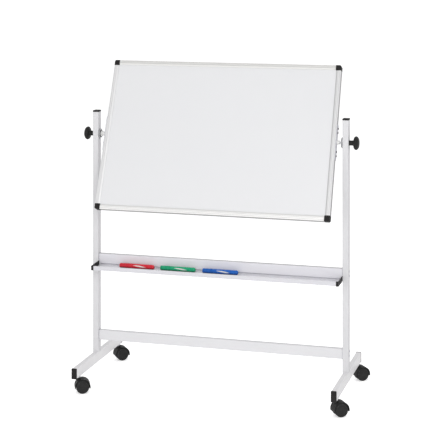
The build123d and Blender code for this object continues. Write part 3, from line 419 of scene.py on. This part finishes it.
# ---------------------------------------------------------------- detail pieces
def weld_bead(name, centre, length, axis, out, radius, seed):
    """A rippled quarter-round fillet weld lying in the corner at centre."""
    bm = bmesh.new()
    rings, steps = [], 34
    across = Vector(axis)
    outv = Vector(out)
    up = Vector((0, 0, 1))
    for i in range(steps + 1):
        t = i / steps
        ends = min(1.0, 6.0 * min(t, 1 - t) + 0.25)
        ripple = 1.0 + 0.10 * math.sin(t * 2 * math.pi * 9 + seed) + 0.04 * math.sin(t * 61 + seed * 3)
        r = radius * ripple * ends
        c = Vector(centre) + across * (length * (t - 0.5))
        ring = []
        for k in range(9):
            a = k / 8 * math.pi / 2
            bulge = 0.80 + 0.20 * math.sin(2 * a)
            ring.append(bm.verts.new(c + outv * (r * math.cos(a) * bulge) + up * (r * math.sin(a) * bulge)))
        ring.append(bm.verts.new(c - outv * 0.0002 - up * 0.0002))
        rings.append(ring)
    for a, b in zip(rings, rings[1:]):
        for k in range(10):
            bm.faces.new((a[k], a[(k + 1) % 10], b[(k + 1) % 10], b[k]))
    bm.faces.new(rings[0])
    bm.faces.new(list(reversed(rings[-1])))
    bmesh.ops.recalc_face_normals(bm, faces=bm.faces)
    me = bpy.data.meshes.new(name)
    bm.to_mesh(me)
    bm.free()
    for p in me.polygons:
        p.use_smooth = True
    o = bpy.data.objects.new(name, me)
    bpy.context.scene.collection.objects.link(o)
    me.materials.append(silver)
    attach(o, "stand")
    return o


for side, sx in (("left", -0.649), ("right", 0.649)):
    for end, sy in (("front", -1), ("back", 1)):
        weld_bead(f"weld_{side}_{end}", (sx, FRAME_Y + sy * 0.020, 0.135), 0.022, (1, 0, 0), (0, sy, 0), 0.0034, sx * 7 + sy)


# ---------------------------------------------------------------- floor, light, camera
def floor():
    bm = bmesh.new()
    bmesh.ops.create_grid(bm, x_segments=8, y_segments=8, size=150.0)
    me = bpy.data.meshes.new("studio_floor")
    bm.to_mesh(me)
    bm.free()
    o = bpy.data.objects.new("studio_floor", me)
    bpy.context.scene.collection.objects.link(o)
    m = Mat("studio_floor")
    tone = m.noise(0.8, 3.0, 0.5)
    base = m.mix(m.ramp(tone, 0.3, 0.7), (0.93, 0.93, 0.93), (0.915, 0.915, 0.92))
    seen = m.node("ShaderNodeLightPath").outputs["Is Camera Ray"]
    glow = m.math("ADD", 0.10, m.math("MULTIPLY", seen, 0.38))
    m.set(Base_Color=base, Roughness=0.9, Emission_Color=(1.0, 1.0, 1.0), Emission_Strength=glow)
    m.set(Specular_IOR_Level=0.1)
    me.materials.append(m.mat)
    o.location = (0, 0, -0.0005)


floor()

world = bpy.data.worlds.new("studio")
bpy.context.scene.world = world
world.use_nodes = True
wt = world.node_tree
wt.nodes.clear()
w_out = wt.nodes.new("ShaderNodeOutputWorld")
w_light = wt.nodes.new("ShaderNodeBackground")
w_seen = wt.nodes.new("ShaderNodeBackground")
w_mix = wt.nodes.new("ShaderNodeMixShader")
w_path = wt.nodes.new("ShaderNodeLightPath")
w_light.inputs[0].default_value = (1.0, 1.0, 1.0, 1.0)
w_light.inputs[1].default_value = 0.70
w_seen.inputs[0].default_value = (1.0, 1.0, 1.0, 1.0)
w_seen.inputs[1].default_value = 1.0
wt.links.new(w_path.outputs["Is Camera Ray"], w_mix.inputs[0])
wt.links.new(w_light.outputs[0], w_mix.inputs[1])
wt.links.new(w_seen.outputs[0], w_mix.inputs[2])
wt.links.new(w_mix.outputs[0], w_out.inputs[0])


def area(name, loc, target, size, power, colour=(1, 1, 1)):
    data = bpy.data.lights.new(name, "AREA")
    data.shape = "RECTANGLE"
    data.size, data.size_y = size
    data.energy = power
    data.color = colour
    o = bpy.data.objects.new(name, data)
    bpy.context.scene.collection.objects.link(o)
    o.location = loc
    o.rotation_mode = "QUATERNION"
    o.rotation_quaternion = (Vector(target) - Vector(loc)).to_track_quat("-Z", "Y")
    return o


area("key", (1.7, -5.3, 3.5), (0.1, 0.0, 0.9), (3.2, 2.6), 88.0)
area("fill", (-3.2, -4.8, 2.0), (-0.1, 0.0, 0.8), (3.0, 2.6), 24.0)
area("low", (1.9, -4.6, 0.95), (0.2, 0.0, 0.45), (3.0, 1.4), 27.0)
area("top", (0.3, 1.2, 4.2), (0.0, 0.0, 0.6), (3.4, 2.4), 22.0)

# A level camera whose lens is shifted down, as in product photography: verticals stay parallel.
cam_data = bpy.data.cameras.new("camera")
cam_data.sensor_width = 36.0
cam_data.lens = 112.73
cam_data.clip_start = 0.1
cam_data.clip_end = 600.0
camera = bpy.data.objects.new("camera", cam_data)
bpy.context.scene.collection.objects.link(camera)
CAM = Vector((1.9215, -6.7654 + FRAME_Y, 2.2209))
camera.location = CAM
camera.rotation_euler = (math.radians(90.0), 0.0, math.radians(15.63))
bpy.context.scene.camera = camera
# The lens shift belongs to this viewpoint only; seen from anywhere else the camera points straight at its subject.
shift = cam_data.driver_add("shift_y").driver
shift.type = "SCRIPTED"
for axis in "XYZ":
    v = shift.variables.new()
    v.name = axis.lower()
    v.type = "TRANSFORMS"
    v.targets[0].id = camera
    v.targets[0].transform_type = "LOC_" + axis
    v.targets[0].transform_space = "WORLD_SPACE"
shift.expression = (
    f"-0.6227 if abs(x - {CAM.x:.5f}) + abs(y - {CAM.y:.5f}) + abs(z - {CAM.z:.5f}) < 0.01 else 0.0"
)

bpy.context.scene.view_settings.view_transform = "Standard"
bpy.context.scene.view_settings.look = "None"
